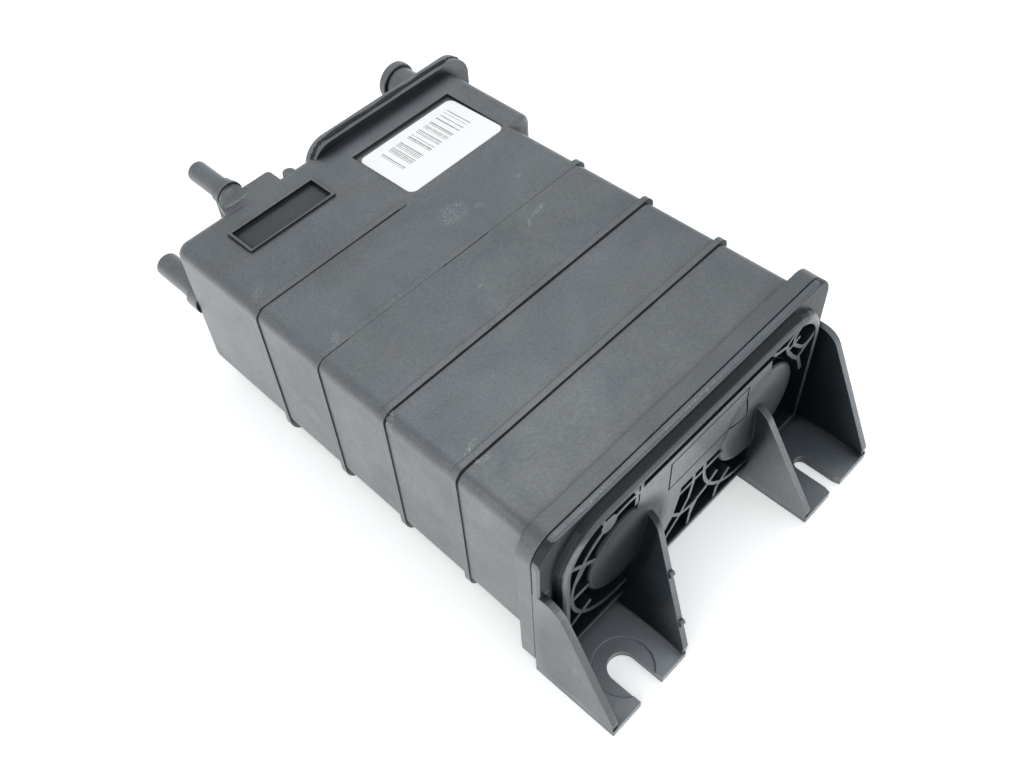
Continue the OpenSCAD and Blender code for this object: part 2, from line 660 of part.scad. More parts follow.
module feet() {
    difference() {
        union() {
            box(-half_flange, foot_l_x, -foot_len, 0, 0, foot_t);
            box(foot_r_x, half_flange, -foot_len, 0, 0, foot_t);
        }
        slot(slot_l_x, slot_l_w, 0);
        slot(slot_r_x, slot_r_w, 1.2);
        // Round seat for a washer
        difference() {
            translate([slot_l_x, -slot_y - slot_l_w / 2, foot_t - seat_d]) cylinder(h = 2, r = seat_r);
            box(-half_flange, -half_flange + gusset_t, -big, big, 0, big);
        }
    }
    along_x(-half_flange, -half_flange + gusset_t) gusset_outline(outer_h, gusset_top, 0);
    along_x(half_flange - gusset_t, half_flange) gusset_outline(outer_h, gusset_top, 0);
    translate([foot_l_x - gusset_t, 0, 0]) rotate([0, lean, 0]) intersection() {
        along_x(0, gusset_t) gusset_outline(inner_h + 3, gusset_top, cell_y + 0.5);
        rotate([0, -lean, 0]) box(-big, big, -big, big, foot_t / 2, big);
    }
    // Nubs on its slanting edge
    translate([foot_l_x - gusset_t, 0, 0]) rotate([0, lean, 0]) for (t = [0.2, 0.58])
        translate([0.3, -(foot_len - gusset_back) * (1 - t) - gusset_top * t, tip_h + (inner_h + 3 - tip_h) * t])
            rotate([0, 90, 0]) cylinder(h = gusset_t - 0.6, r = nub_r);
    translate([foot_r_x, 0, 0]) rotate([0, -lean_r, 0]) intersection() {
        along_x(0, gusset_t) gusset_outline(inner_h, gusset_top, cell_y + 0.5);
        rotate([0, lean_r, 0]) box(-big, big, -big, big, foot_t / 2, big);
    }
}
// Rounded front edge of the rim
module rim_edge() loft([for (i = [4:-1:-1]) let (a = 90 * max(i, 0) / 4, inset = rim_round * (1 - cos(a)) + 0.05)
    [-rim_t + rim_round * (1 - sin(a)) - min(i, 0) * 0.4, -half_flange + inset, half_flange - inset, inset, flange_h - inset, flange_r - inset]], 8);
module plug(inset) translate([0, mid_z]) rrect(flange_w - 2 * rim_w - 2 * play - 2 * inset,
    flange_h - 2 * rim_w - 2 * play - 2 * inset, flange_r - rim_w - play - inset / 2);
module end_lid() color(charcoal * 0.8) difference() {
    union() {
        difference() {
            union() {
                along_y(-rim_t + rim_round, 0) seam_outline();
                along_y(-rim_t + rim_round, -seam_w) flange_outline(0);
                rim_edge();
                along_y(-1, plug_d) plug(0);
                raised_face();
            }
            along_y(-table_h - 1, cell_d) lattice_cells();
        }
        dome(dome_l_x, dome_l_r);
        dome(dome_r_x, dome_r_r);
        feet();
    }
    along_y(cell_d + lid_t, plug_d + 1) plug(plug_wall);
    dome_hollow(dome_l_x, dome_l_r);
    dome_hollow(dome_r_x, dome_r_r);
    along_y(-table_h - 1, rib_y + 0.5) bare_field();
}

// Air cover

module air_cover() color(charcoal * 0.9) difference() {
    union() {
        along_y(weld_y, cover_y) cover_outline();
        rod_y(air_x, air_z, cover_y - 1, cover_y + flare_len, flare_r, air_r);
        rod_y(air_x, air_z, cover_y, cover_y + air_len, air_r, air_r);
        translate([air_x, cover_y + air_len - bead_w, air_z]) rotate([-90, 0, 0]) rotate_extrude() union() {
            square([bead_r - bead_round, bead_w]);
            translate([bead_r - bead_round - 1, bead_round]) square([bead_round + 1, bead_w - 2 * bead_round]);
            for (v = [bead_round, bead_w - bead_round]) translate([bead_r - bead_round, v]) circle(bead_round);
        }
    }
    rod_y(air_x, air_z, weld_y - 1, cover_y + air_len + 1, air_bore / 2, air_bore / 2);
}

// Label

module label() color("white") on_recess() linear_extrude(label_t) rrect(label_w, label_d, label_r);

// Inner pieces

module carbon_bed_main() color([0.05, 0.05, 0.05]) main_space(play, bed_y, main_end);
module carbon_bed_second() color([0.05, 0.05, 0.05]) second_space(play, bed_y, second_end);
// Outline of the main and of the second chamber at a distance y from the seam
module main_outline(y) translate([-half_w(y) + wall + play, mid_z - half_h(y) + wall + play])
    square([half_w(y) - wall - 2 * play + main_x1, 2 * (half_h(y) - wall - play)]);
module second_outline(y) translate([second_x0 + play, mid_z - half_h(y) + wall + play])
    square([half_w(y) - wall - 2 * play - second_x0, 2 * (half_h(y) - wall - play)]);
module air_outline(y) translate([second_x0 + wall + 2 + play, mid_z - half_h(y) + wall + play + skin * 10])
    square([neck_x - 2 * wall - 2 - 2 * play - second_x0, 2 * (half_h(y) - wall - play - skin * 10)]);
module fleece(y) color([0.86, 0.85, 0.8]) along_y(y, y + fleece_t) children();
module fleece_main_lid() fleece(fleece_y) main_outline(bed_y);
module fleece_main_port() fleece(main_end) main_outline(main_end + fleece_t);
module fleece_second_lid() fleece(fleece_y) second_outline(bed_y);
module fleece_second_air() fleece(second_end) air_outline(grid_y);
// Plate with rows of square holes between x0 and x1
module holes(x0, x1) {
    nx = floor((x1 - x0 - 6) / hole_pitch);
    nz = floor((2 * half_h(body_len) - 2 * wall - 6) / hole_pitch);
    for (i = [0:nx - 1], j = [0:nz - 1]) translate([(x0 + x1) / 2 + (i - (nx - 1) / 2) * hole_pitch,
        mid_z + (j - (nz - 1) / 2) * hole_pitch]) square(hole, center = true);
}
module perforated(y, x0, x1) color([0.3, 0.31, 0.32]) along_y(y, y + plate_t) difference() {
    children();
    holes(x0, x1);
}
module pressure_plate_main() perforated(plate_y, -half_w(fleece_y) + wall, main_x1) main_outline(fleece_y);
module pressure_plate_second() perforated(plate_y, second_x0, half_w(fleece_y) - wall) second_outline(fleece_y);
module air_grid() perforated(grid_y, second_x0 + wall + 2, neck_x - wall) air_outline(foam_y);
module dust_foam() color([0.2, 0.2, 0.2]) along_y(foam_y, weld_y) air_outline(weld_y);
// Coil spring along Y with closed end turns
spring_seg = 20;
spring_sides = 8;
function spring_path(t, y0, y1) = let (a = spring_wire / 2 + 0.05, k = (t * spring_n - 0.75) / (spring_n - 1.5),
    s = k < 0 ? 0 : k > 1 ? 1 : k) y0 + a + (y1 - y0 - 2 * a) * s;
module coil(x, y0, y1) {
    m = spring_n * spring_seg;
    rc = spring_r - spring_wire / 2;
    pts = [for (i = [0:m]) for (j = [0:spring_sides - 1]) let (t = i / m, a = 360 * spring_n * t,
        b = 360 * j / spring_sides, rr = rc + spring_wire / 2 * cos(b))
        [x + rr * cos(a), spring_path(t, y0, y1) + spring_wire / 2 * sin(b), dome_z + rr * sin(a)]];
    n = spring_sides;
    polyhedron(pts, concat([[for (j = [0:n - 1]) j], [for (j = [n - 1:-1:0]) m * n + j]],
        [for (i = [0:m - 1]) for (j = [0:n - 1]) let (a = i * n + j, b = i * n + (j + 1) % n)
            each [[a, a + n, b + n], [a, b + n, b]]]));
}
module spring_main() color("silver") coil(dome_l_x, -dome_y + dome_wall, plate_y);
module spring_second() color("silver") coil(dome_r_x, -dome_y + dome_wall, plate_y);

housing();
end_lid();
air_cover();
label();
carbon_bed_main();
carbon_bed_second();
fleece_main_lid();
fleece_main_port();
fleece_second_lid();
fleece_second_air();
pressure_plate_main();
pressure_plate_second();
spring_main();
spring_second();
air_grid();
dust_foam();
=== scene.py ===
import bpy, math
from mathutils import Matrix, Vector


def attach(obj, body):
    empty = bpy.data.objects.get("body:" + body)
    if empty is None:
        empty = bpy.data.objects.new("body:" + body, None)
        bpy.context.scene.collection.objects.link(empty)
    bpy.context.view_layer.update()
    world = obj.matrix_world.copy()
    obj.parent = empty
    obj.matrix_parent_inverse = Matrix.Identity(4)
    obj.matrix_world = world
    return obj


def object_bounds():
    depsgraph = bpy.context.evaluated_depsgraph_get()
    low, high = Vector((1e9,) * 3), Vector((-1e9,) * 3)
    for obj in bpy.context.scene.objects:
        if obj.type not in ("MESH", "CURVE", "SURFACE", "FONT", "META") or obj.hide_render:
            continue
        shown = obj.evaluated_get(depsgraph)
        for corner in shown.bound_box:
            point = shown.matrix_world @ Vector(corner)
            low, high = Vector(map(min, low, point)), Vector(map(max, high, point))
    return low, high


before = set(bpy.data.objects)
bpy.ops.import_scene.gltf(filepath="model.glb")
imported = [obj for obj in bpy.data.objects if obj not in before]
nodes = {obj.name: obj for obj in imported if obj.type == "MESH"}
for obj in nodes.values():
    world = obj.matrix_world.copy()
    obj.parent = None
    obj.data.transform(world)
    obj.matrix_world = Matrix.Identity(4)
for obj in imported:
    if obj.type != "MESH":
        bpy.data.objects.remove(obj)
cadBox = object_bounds()
scene = bpy.context.scene
scene.view_settings.view_transform = "Standard"
print("canister frame loaded:", len(nodes), "nodes")

# camera, set for a 1024 x 768 picture

cameraSet = {
    "place": (-0.21001, -0.12823, 0.41651), "turn": (37.6485, 2.3579, -46.4366),
    "lens": 38.81, "sensor": 36.0, "nearest": 0.01,
}


def addCamera(s):
    bpy.ops.object.camera_add(location=s["place"], rotation=[math.radians(a) for a in s["turn"]])
    cam = bpy.context.object
    cam.name = "photoCamera"
    cam.data.sensor_fit = "HORIZONTAL"
    cam.data.sensor_width = s["sensor"]
    cam.data.lens = s["lens"]
    cam.data.clip_start = s["nearest"]
    scene.camera = cam


addCamera(cameraSet)
print("camera placed")

# node helpers: a value is either a number or colour, which is typed in, or a socket, which is linked

midNoise = (0.3, 0.7)  # the span that most of a noise lies in
unit = (0.0, 1.0)
columnStep, rowStep = 220, 200  # between nodes in the editor


def feed(socket, value):
    if isinstance(value, bpy.types.NodeSocket):
        socket.id_data.links.new(value, socket)
    else:
        socket.default_value = value


def addNode(tree, kind, **values):
    n = tree.nodes.new(kind)
    for key, value in values.items():
        setattr(n, key, value)
    return n


def setInputs(n, **values):
    for key, value in values.items():
        feed(n.inputs[key.replace("_", " ")], value)
    return n


def layOut(tree):  # columns from the output to the left
    column = {n.name: 0 for n in tree.nodes}
    wires = [(wire.from_node.name, wire.to_node.name) for wire in tree.links]
    for step in range(len(column)):
        for start, end in wires:
            column[start] = max(column[start], column[end] + 1)
    filled = {}
    for n in tree.nodes:
        row = filled.get(column[n.name], 0)
        n.location = (-columnStep * column[n.name], -rowStep * row)
        filled[column[n.name]] = row + 1


def newMaterial(name):
    mat = bpy.data.materials.new(name)
    mat.use_nodes = True
    tree = mat.node_tree
    tree.nodes.clear()
    shader = addNode(tree, "ShaderNodeBsdfPrincipled")
    setInputs(addNode(tree, "ShaderNodeOutputMaterial"), Surface=shader.outputs[0])
    return mat, tree, shader


def newGroup(name, inputs, outputs):
    tree = bpy.data.node_groups.new(name, "ShaderNodeTree")
    for label, kind, value in inputs:
        socket = tree.interface.new_socket(label, in_out="INPUT", socket_type="NodeSocket" + kind)
        if value is not None:
            socket.default_value = value
    for label, kind in outputs:
        tree.interface.new_socket(label, in_out="OUTPUT", socket_type="NodeSocket" + kind)
    return tree, tree.nodes.new("NodeGroupInput").outputs, tree.nodes.new("NodeGroupOutput")


def placeGroup(tree, group, **values):
    return setInputs(addNode(tree, "ShaderNodeGroup", node_tree=group), **values).outputs


def objectPlace(tree):
    return addNode(tree, "ShaderNodeTexCoord").outputs["Object"]


def splitAxes(tree, vector):
    return setInputs(addNode(tree, "ShaderNodeSeparateXYZ"), Vector=vector).outputs


def mapRange(tree, source, span, result, smooth=False):
    n = setInputs(addNode(tree, "ShaderNodeMapRange"), Value=source, From_Min=span[0], From_Max=span[1],
                  To_Min=result[0], To_Max=result[1])
    if smooth:
        n.interpolation_type = "SMOOTHSTEP"
    return n.outputs["Result"]


def mixColor(tree, factor, a, b, blend="MIX"):
    n = addNode(tree, "ShaderNodeMix", data_type="RGBA", blend_type=blend)
    return setInputs(n, Factor=factor, A=a, B=b).outputs["Result"]


def mathNode(tree, operation, *values):
    n = addNode(tree, "ShaderNodeMath", operation=operation)
    for socket, value in zip(n.inputs, values):
        feed(socket, value)
    return n.outputs[0]


def joinMasks(tree, operation, masks):
    total = masks[0]
    for mask in masks[1:]:
        total = mathNode(tree, operation, total, mask)
    return total


def noiseNode(tree, vector, scale, detail=2.0, rough=0.5, twist=0.0):
    n = addNode(tree, "ShaderNodeTexNoise")
    return setInputs(n, Vector=vector, Scale=scale, Detail=detail, Roughness=rough, Distortion=twist).outputs["Fac"]


def bumpNormal(tree, height, strength, depth, **values):
    n = addNode(tree, "ShaderNodeBump")
    return setInputs(n, Height=height, Strength=strength, Distance=depth, **values).outputs["Normal"]


# white studio: floor, world and three soft sheets of light

stageSet = {
    "floorSize": 6.0, "floorTone": (0.93, 0.93, 0.93, 1), "floorRough": 0.9, "floorGloss": 0.1, "floorLift": 0.32,
    "worldTone": (0.92, 0.975, 1.0, 1), "worldStrength": 0.9,
}
lampSet = {
    "leftSheet": {"place": (-0.85, -0.1, 0.5), "aim": (0, 0.08, 0.05), "size": (0.9, 0.7),
                  "power": 2.9, "tone": (1.0, 0.955, 0.88)},
    "frontSheet": {"place": (0.05, -0.95, 0.45), "aim": (0, 0.0, 0.05), "size": (0.9, 0.6),
                   "power": 2.2, "tone": (1.0, 0.99, 0.97)},
    "backSheet": {"place": (0.26, 0.34, 0.97), "aim": (-0.05, 0.03, 0.08), "size": (0.42, 0.42),
                  "power": 0.8, "tone": (0.93, 0.98, 1.0)},
}


def addFloor(s):
    bpy.ops.object.select_all(action="DESELECT")
    bpy.ops.mesh.primitive_plane_add(size=s["floorSize"], location=(0, 0, cadBox[0][2]))
    floor = bpy.context.object
    floor.name = "studioFloor"
    mat, tree, shader = newMaterial("paleFloor")
    setInputs(shader, Base_Color=s["floorTone"], Roughness=s["floorRough"], Specular_IOR_Level=s["floorGloss"])
    rays = addNode(tree, "ShaderNodeLightPath").outputs
    seen = joinMasks(tree, "MAXIMUM", [rays["Is Camera Ray"], rays["Is Glossy Ray"], rays["Is Transmission Ray"]])
    lift = mathNode(tree, "MULTIPLY", seen, s["floorLift"])
    glow = setInputs(addNode(tree, "ShaderNodeEmission"), Strength=lift)
    both = addNode(tree, "ShaderNodeAddShader")
    feed(both.inputs[0], shader.outputs[0])
    feed(both.inputs[1], glow.outputs[0])
    setInputs(tree.nodes["Material Output"], Surface=both.outputs[0])
    layOut(tree)
    floor.data.materials.append(mat)


def addWorld(s):
    world = bpy.data.worlds.new("whiteRoom")
    scene.world = world
    world.use_nodes = True
    tree = world.node_tree
    tree.nodes.clear()
    back = setInputs(addNode(tree, "ShaderNodeBackground"), Color=s["worldTone"], Strength=s["worldStrength"])
    setInputs(addNode(tree, "ShaderNodeOutputWorld"), Surface=back.outputs[0])
    layOut(tree)


def addLamps(lamps):
    for name, s in lamps.items():
        bpy.ops.object.light_add(type="AREA", location=s["place"])
        lamp = bpy.context.object
        lamp.name = name
        lamp.data.shape = "RECTANGLE"
        lamp.data.size, lamp.data.size_y = s["size"]
        lamp.data.energy = s["power"]
        lamp.data.color = s["tone"]
        lamp.rotation_euler = (Vector(s["aim"]) - Vector(s["place"])).to_track_quat("-Z", "Y").to_euler()


addFloor(stageSet)
addWorld(stageSet)
addLamps(lampSet)
print("studio lit")

# shared effects: moulded grain with a slow cloud in the tone, and pale rubbed marks, which also paint highlights on
# edges and strokes
# a noise is written as scale, detail, roughness, twist

grainSet = {
    "cloud": (30.0, 5.0, 0.6), "grain": (1700.0, 2.0), "flow": (140.0, 3.0, 0.6, 0.5),
    "slow": (24.0, 4.0, 0.62, 0.6), "fine": (900.0, 3.0, 0.7),
    "cloudTone": (0.85, 1.18), "cloudRough": (-0.05, 0.05), "flowRough": (-0.035, 0.035), "flowHeight": 0.6,
    "slowSpan": (0.32, 0.68), "slowShine": (0.72, 1.02), "fineShine": (0.7, 1.08),
}
# the pale tone colours rubbed marks, dust and the painted edge and stroke highlights
rubAndHighlightSet = {
    "patch": (70.0, 3.0, 0.55, 0.4), "patchSpan": (0.5, 0.7), "speck": (1400.0, 3.0, 0.75), "speckSpan": (0.52, 0.66),
    "dust": (620.0, 1.0), "dustSpan": (0.76, 0.8), "dustMost": 0.35, "edgeLeast": 0.3, "tone": (0.4, 0.405, 0.4, 1),
}
plainTone = (0.04, 0.04, 0.04, 1)


def mouldedGrainGroup(s):
    tree, given, out = newGroup(
        "mouldedGrain",
        [("Vector", "Vector", None), ("Tone", "Color", plainTone), ("Gloss", "Float", 0.4)],
        [("Color", "Color"), ("Roughness", "Float"), ("Height", "Float"), ("Shine", "Float")])
    cloud, grain, flow, slow, fine = [
        noiseNode(tree, given["Vector"], *s[key]) for key in ("cloud", "grain", "flow", "slow", "fine")]
    toned = mixColor(tree, 1.0, given["Tone"], mapRange(tree, cloud, midNoise, s["cloudTone"]), "MULTIPLY")
    mottle = mathNode(tree, "ADD", mapRange(tree, cloud, midNoise, s["cloudRough"]),
                      mapRange(tree, flow, midNoise, s["flowRough"]))
    rough = mathNode(tree, "ADD", mottle, given["Gloss"])
    height = mathNode(tree, "ADD", grain, mathNode(tree, "MULTIPLY", flow, s["flowHeight"]))
    shine = mathNode(tree, "MULTIPLY", mapRange(tree, slow, s["slowSpan"], s["slowShine"]),
                     mapRange(tree, fine, midNoise, s["fineShine"]))
    setInputs(out, Color=toned, Roughness=rough, Height=height, Shine=shine)
    layOut(tree)
    return tree


# pale rubbed marks, specks and dust, plus painted highlight on the edges
def rubAndHighlightMarksGroup(s):
    tree, given, out = newGroup(
        "rubAndHighlightMarks",
        [("Vector", "Vector", None), ("Color", "Color", plainTone), ("Edge", "Float", 0.0),
         ("Marks", "Float", 0.0), ("RubAndHighlight", "Color", s["tone"])],
        [("Color", "Color"), ("Mask", "Float")])
    patch, speck, dust = [noiseNode(tree, given["Vector"], *s[key]) for key in ("patch", "speck", "dust")]
    patch = mapRange(tree, patch, s["patchSpan"], unit)
    speck = mapRange(tree, speck, s["speckSpan"], unit)
    dust = mapRange(tree, dust, s["dustSpan"], (0.0, s["dustMost"]))
    edge = mathNode(tree, "MULTIPLY", given["Edge"], mapRange(tree, patch, unit, (s["edgeLeast"], 1.0)))
    marks = mathNode(tree, "MULTIPLY", given["Marks"], speck)
    loose = mathNode(tree, "MULTIPLY", dust, patch)
    total = mathNode(tree, "ADD", edge, mathNode(tree, "ADD", marks, loose))
    capped = mathNode(tree, "MINIMUM", total, 1.0)
    setInputs(out, Color=mixColor(tree, capped, given["Color"], given["RubAndHighlight"]), Mask=capped)
    layOut(tree)
    return tree


mouldedGrain = mouldedGrainGroup(grainSet)
rubAndHighlightMarks = rubAndHighlightMarksGroup(rubAndHighlightSet)
print("shared effects built")

# masks by place on the piece

maskSet = {
    "strokeDepth": 0.006, "strokeFade": (0.45, 1.0), "roundFade": (0.7, 1.0),
    "lineNoise": (60.0, 2.0), "lineUneven": (0.75, 1.25), "lineFade": (0.75, 1.1), "lineLowest": 0.079,
    "wideReach": 0.045, "wideSpan": (0.42, 0.86), "closeReach": 0.007, "closeSpan": (0.48, 0.92), "samples": 8,
}


def ellipseReach(tree, vector, center, size, turn=0.0):  # 0 in the middle, 1 at the outline
    mapped = addNode(tree, "ShaderNodeMapping", vector_type="TEXTURE")
    setInputs(mapped, Vector=vector, Location=center, Rotation=(0, 0, math.radians(turn)), Scale=size)
    reach = addNode(tree, "ShaderNodeVectorMath", operation="LENGTH")
    feed(reach.inputs[0], mapped.outputs["Vector"])
    return reach.outputs["Value"]


def strokeMask(tree, vector, strokes):  # soft ellipses, turned in plan
    masks = []
    for x, y, z, turn, long, wide, power in strokes:
        reach = ellipseReach(tree, vector, (x, y, z), (long, wide, maskSet["strokeDepth"]), turn)
        masks.append(mapRange(tree, reach, maskSet["strokeFade"], (power, 0.0), True))
    return joinMasks(tree, "MAXIMUM", masks)


def roundMask(tree, vector, pool, inner, outer):
    reach = ellipseReach(tree, vector, pool[:3], pool[3:6])
    return mapRange(tree, reach, maskSet["roundFade"], (inner, outer), True)


def stepBetween(tree, value, low, high):
    return mathNode(tree, "MULTIPLY", mathNode(tree, "GREATER_THAN", value, low),
                    mathNode(tree, "LESS_THAN", value, high))


def boxMask(tree, vector, low, high):
    axes = splitAxes(tree, vector)
    return joinMasks(tree, "MULTIPLY", [stepBetween(tree, axes[i], low[i], high[i]) for i in range(3)])


# painted shadow and dirt along the foot of each rib on the top
def ribShadowMask(tree, vector, ribShadowLines):  # dark foot of each rib on the top
    s = maskSet
    axes = splitAxes(tree, vector)
    uneven = mapRange(tree, noiseNode(tree, vector, *s["lineNoise"]), midNoise, s["lineUneven"])
    masks = []
    for y, half, low, high in ribShadowLines:
        away = mathNode(tree, "ABSOLUTE", mathNode(tree, "SUBTRACT", axes["Y"], y))
        away = mathNode(tree, "DIVIDE", away, uneven)
        drawn = mapRange(tree, away, [half * fade for fade in s["lineFade"]], (1.0, 0.0))
        masks.append(mathNode(tree, "MULTIPLY", drawn, stepBetween(tree, axes["X"], low, high)))
    above = mathNode(tree, "GREATER_THAN", axes["Z"], s["lineLowest"])
    return mathNode(tree, "MULTIPLY", joinMasks(tree, "MAXIMUM", masks), above)


# occlusion mask that drives the painted shade, and keeps the painted edge highlight off closed edges
def shelterMask(tree, key):  # 0 deep in a recess, 1 in the open
    nook = addNode(tree, "ShaderNodeAmbientOcclusion", samples=maskSet["samples"], only_local=True)
    setInputs(nook, Distance=maskSet[key + "Reach"])
    return mapRange(tree, nook.outputs["AO"], maskSet[key + "Span"], unit, True)


# moulded pieces: housing, end lid and air cover
# marks: centre, turn, length, width, strength; boxes of painted shade: low corner, high corner, share left
# rounds of painted shade, and pale dust film that is also painted light: centre, half sizes, strength; painted shadow
# and dirt at rib feet: y, half width, low x, high x

plasticSet = {
    "housing": {
        "tone": (0.029, 0.036, 0.045, 1), "gloss": 0.40, "edge": 0.4, "soften": 0.0007, "shine": 1.0,
        "marks": [
            (0.042, 0.1145, 0.0855, 10, 0.007, 0.0016, 0.9), (0.0335, 0.1115, 0.0855, 50, 0.004, 0.0012, 1.0),
            (0.0295, 0.1085, 0.0855, -62, 0.0028, 0.0006, 1.0), (0.0165, 0.141, 0.0855, 10, 0.010, 0.0075, 0.6),
            (0.027, 0.1355, 0.0855, 10, 0.004, 0.003, 0.35), (-0.006, 0.102, 0.0855, 5, 0.003, 0.0012, 0.5),
            (-0.066, 0.0484, 0.086, 20, 0.006, 0.0018, 0.9), (-0.0665, 0.0412, 0.086, -20, 0.005, 0.0016, 0.8),
            (-0.0645, 0.1255, 0.0855, 40, 0.006, 0.0022, 0.7), (-0.0755, 0.081, 0.084, 30, 0.005, 0.0025, 0.7),
            (-0.069, 0.169, 0.0855, 30, 0.006, 0.003, 0.5), (-0.0576, 0.0886, 0.0855, 10, 0.0014, 0.0009, 1.0),
            (-0.0369, 0.0655, 0.0855, 10, 0.0009, 0.0007, 1.0), (0.052, 0.136, 0.0855, 15, 0.003, 0.0012, 0.6),
        ],
        # boxes of painted shade
        "shadeBoxes": [
            ((-0.0555, 0.1895, 0.075), (-0.0107, 0.2038, 0.09), 0.4),  # inside the frame on the top
            ((-0.088, -0.001, 0.0905), (0.088, 0.0085, 0.096), 0.78),  # top of the weld flange
        ],
        # pale dust film and painted light on the band in front of the cover
        "dustAndLightHaze": [(0.045, 0.2085, 0.082, 0.06, 0.011, 0.008, 0.04)],
        # painted shadow and dirt at the foot of each rib
        "ribShadowLines": [
            (0.0429, 0.0004, -0.083, 0.083), (0.082, 0.00036, -0.08, -0.02), (0.082, 0.0005, -0.02, 0.083),
            (0.1211, 0.0002, -0.009, 0.0175), (0.1211, 0.0002, -0.075, -0.061),
            (0.1603, 0.0003, -0.075, -0.02), (0.1603, 0.0004, -0.02, 0.0025),
        ],
    },
    "end_lid": {
        "tone": (0.026, 0.037, 0.049, 1), "gloss": 0.38, "edge": 0.45, "soften": 0.0006, "shine": 1.0,
        # the two thin strokes along the rim top are painted highlight
        "marks": [
            (-0.086, -0.02, 0.03, 0, 0.004, 0.002, 0.5), (0.0, -0.002, 0.0945, 0, 0.03, 0.0008, 0.5),
            (-0.055, -0.002, 0.0945, 0, 0.012, 0.0012, 0.6),
        ],
        # boxes of painted shade
        "shadeBoxes": [
            ((-0.0805, -0.0068, 0.01), (0.0805, 0.0004, 0.0940), 0.1),  # cells and foot of the raised face
            ((-0.0853, -0.0068, 0.0665), (-0.0805, 0.0004, 0.0940), 0.1),
            ((0.0805, -0.0068, 0.0665), (0.0853, 0.0004, 0.0940), 0.1),
            ((-0.088, -0.005, 0.0940), (0.088, 0.001, 0.096), 0.85),  # top of the rim
        ],
        # rounds of painted shade on the domes, the left gusset side and the band below the rim
        "shadePools": [
            (-0.0424, -0.008, 0.051, 0.027, 0.008, 0.027, 0.9), (0.0394, -0.008, 0.051, 0.029, 0.008, 0.029, 0.65),
            (-0.086, -0.026, 0.028, 0.004, 0.03, 0.05, 0.32), (0.0, -0.008, 0.0905, 0.14, 0.004, 0.0075, 0.65),
        ],
        # pale dust film and painted light on the feet, stronger on the left
        "dustAndLightHaze": [
            (-0.062, -0.022, 0.004, 0.032, 0.026, 0.003, 0.38), (0.06, -0.022, 0.004, 0.032, 0.026, 0.003, 0.12),
        ],
    },
    "air_cover": {
        "tone": (0.034, 0.042, 0.052, 1), "gloss": 0.42, "edge": 0.65, "soften": 0.0006, "shine": 1.0,
        # painted highlight strokes along the cover top
        "marks": [(0.05, 0.219, 0.089, 0, 0.012, 0.001, 0.5), (0.09, 0.219, 0.08, 0, 0.006, 0.002, 0.5)],
        # pale dust film and painted light on the cover top
        "dustAndLightHaze": [(0.045, 0.2195, 0.085, 0.09, 0.007, 0.014, 0.12)],
    },
}
# darkest: colour share left under the deepest painted shade; the pale film tone is dust and painted light
finishSet = {
    "bevelSamples": 6, "upSpan": (0.55, 0.95), "upMost": 0.9, "edgeSpan": (0.98, 0.75), "darkest": 0.21,
    "dustAndLightHazeTone": (0.3, 0.32, 0.35, 1), "rubAndHighlightRough": 0.25, "bumpDepth": 0.0003, "grainBump": 0.2,
    "film": (1300.0, 2.0), "filmBump": 0.18, "ior": 1.33, "coatIor": 2.2, "coatRough": 0.36,
}


def paintedShadeMask(tree, place, flat, close, s):  # painted shade: 1 in the open and on upward faces, lower in recesses, boxes, rounds and at rib feet
    upward = mapRange(tree, splitAxes(tree, flat)["Z"], finishSet["upSpan"], (0.0, finishSet["upMost"]), True)
    masks = [mathNode(tree, "MAXIMUM", shelterMask(tree, "wide"), upward), close]
    for low, high, left in s.get("shadeBoxes", []):  # painted shade: darker boxes with a thinner coat
        masks.append(mapRange(tree, boxMask(tree, place, low, high), unit, (1.0, left)))
    for pool in s.get("shadePools", []):  # painted shade: soft darker rounds with a thinner coat
        masks.append(roundMask(tree, place, pool, 1.0 - pool[6], 1.0))
    if s.get("ribShadowLines"):
        masks.append(mapRange(tree, ribShadowMask(tree, place, s["ribShadowLines"]), unit, (1.0, 0.0)))
    return joinMasks(tree, "MULTIPLY", masks)


